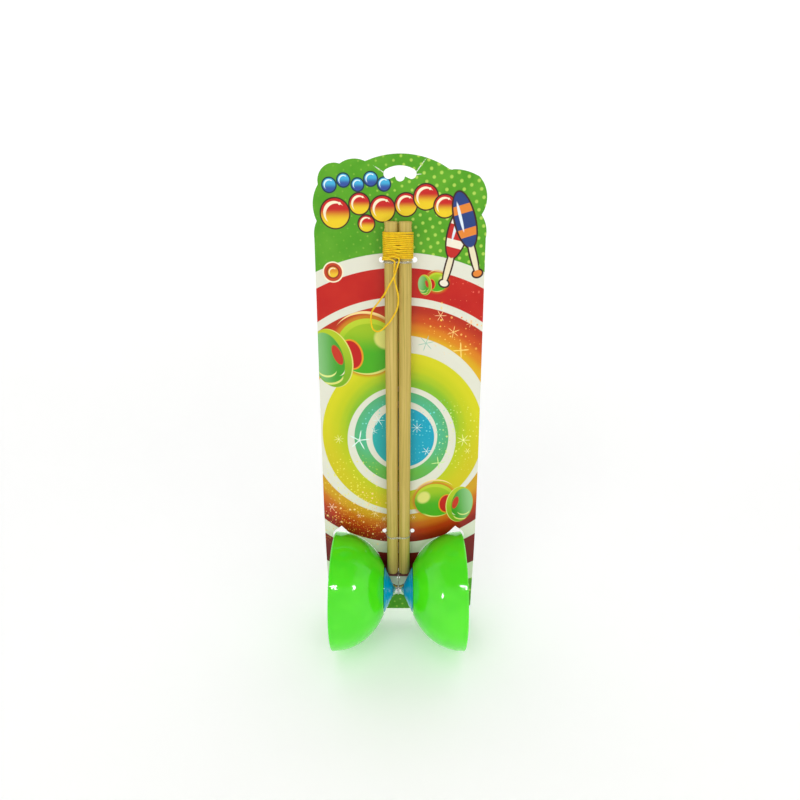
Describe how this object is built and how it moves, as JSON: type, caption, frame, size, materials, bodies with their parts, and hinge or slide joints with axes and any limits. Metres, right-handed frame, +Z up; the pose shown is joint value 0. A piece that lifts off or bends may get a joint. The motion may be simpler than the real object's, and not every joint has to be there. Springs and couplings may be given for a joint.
{
  "type": "carded diabolo with hand sticks",
  "caption": "Cup-shaped spinning top on a steel axle, with string-wound wooden hand sticks, tied to a die-cut hanging card.",
  "frame": {"origin": "centre of the card's hang slot, on the card's printed face", "axes": "+Z up the card, +X across the card along the diabolo's axle, the printed face looks along -Y"},
  "size_m": [0.134, 0.1008, 0.4061],
  "materials": {
    "card_print": "coated board, printed, glossy varnish",
    "clear_nylon": "clear nylon",
    "stick_wood": "bare sanded dowel",
    "string_yellow": "twisted nylon cord",
    "cup_green": "moulded, semi-gloss",
    "hub_blue": "moulded, semi-gloss",
    "plated_steel": "bright zinc plate"
  },
  "bodies": {
    "card": {"backing_card": "card_print", "upper_tie": "clear_nylon", "lower_tie": "clear_nylon", "axle_tie": "clear_nylon"},
    "sticks": {"left_stick": "stick_wood", "right_stick": "stick_wood", "left_string_end": "string_yellow", "right_string_end": "string_yellow", "string_winding": "string_yellow", "string_loop": "string_yellow"},
    "diabolo": {"left_cup": "cup_green", "right_cup": "cup_green", "left_hub": "hub_blue", "right_hub": "hub_blue", "left_washer": "plated_steel", "right_washer": "plated_steel", "axle_spool": "plated_steel", "through_bolt": "plated_steel", "lock_washer": "plated_steel", "hex_nut": "plated_steel"}
  },
  "joints": [
    {"name": "diabolo_spin", "type": "hinge", "parent": "card", "child": "diabolo", "pos_m": [-0.0014, -0.0214, -0.3437], "axis": [1, 0, 0], "continuous": true},
    {"name": "sticks_slide", "type": "slide", "parent": "card", "child": "sticks", "axis": [0, 0, 1], "range_m": [0, 0.29]}
  ]
}
